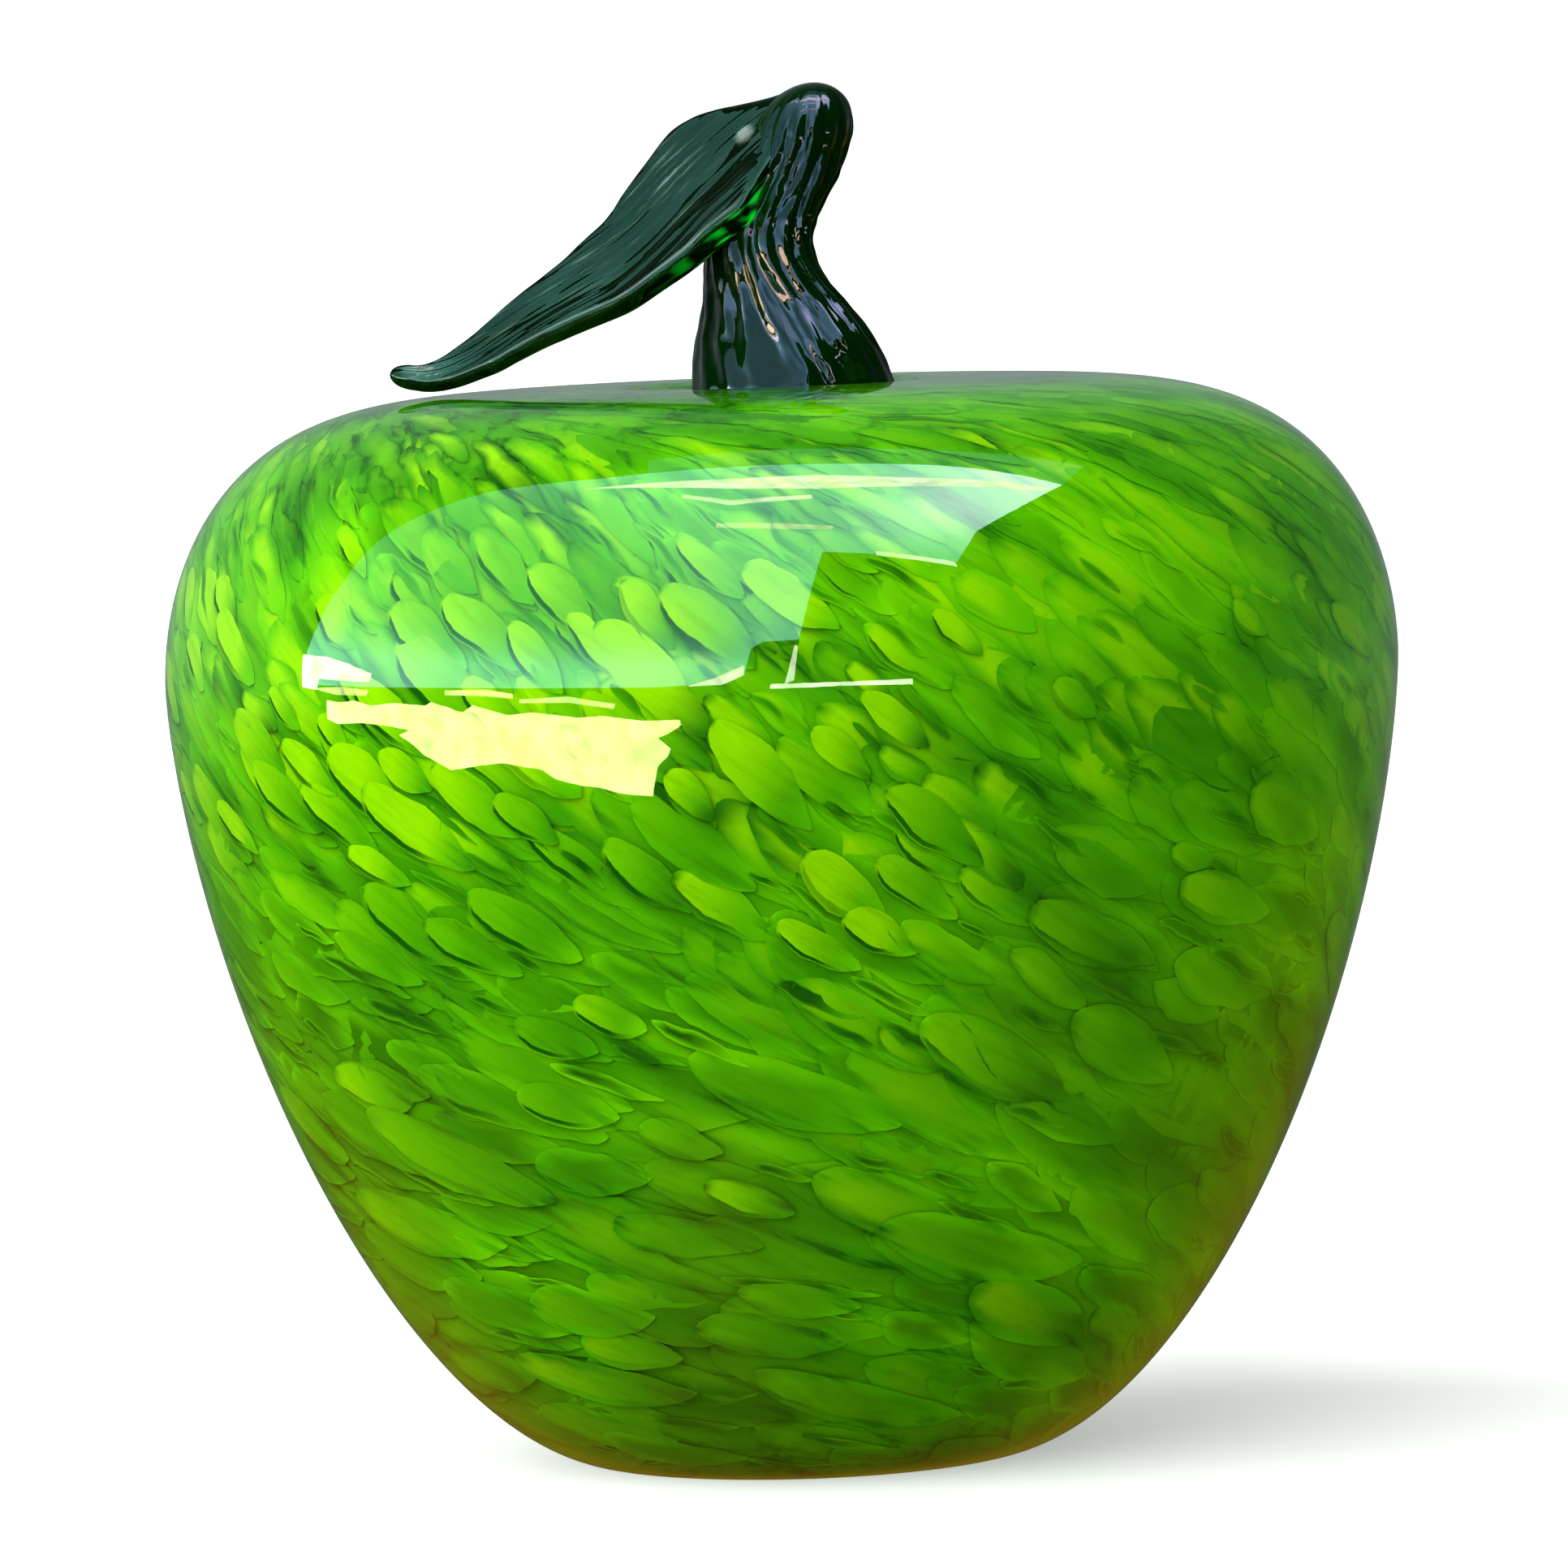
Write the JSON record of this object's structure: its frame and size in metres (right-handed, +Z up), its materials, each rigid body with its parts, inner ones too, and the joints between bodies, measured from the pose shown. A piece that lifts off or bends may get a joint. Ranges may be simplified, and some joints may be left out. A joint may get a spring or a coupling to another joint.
{
  "type": "art glass apple",
  "caption": "Free-standing blown glass apple: hollow cased body with fused green frit flakes, a flat base, a fluted dark green stem and a drawn, curled dark green leaf.",
  "frame": {"origin": "middle of the flat base, on the axis of the body", "axes": "+Z up along the axis of the body, the leaf toward -X, the pictured front toward -Y"},
  "size_m": [0.1346, 0.1346, 0.15],
  "materials": {
    "inner_glass": "clear glass, hidden behind the colour",
    "green_frit": "fused flakes of bright, mid and dark green glass",
    "clear_glass": "fire-polished, high gloss",
    "dark_green_glass": "fire-polished, deep bottle green, nearly black where thick"
  },
  "bodies": {
    "root": {"inner_bubble": "inner_glass", "colour_layer": "green_frit", "clear_casing": "clear_glass", "stem": "dark_green_glass", "leaf": "dark_green_glass"}
  },
  "joints": []
}
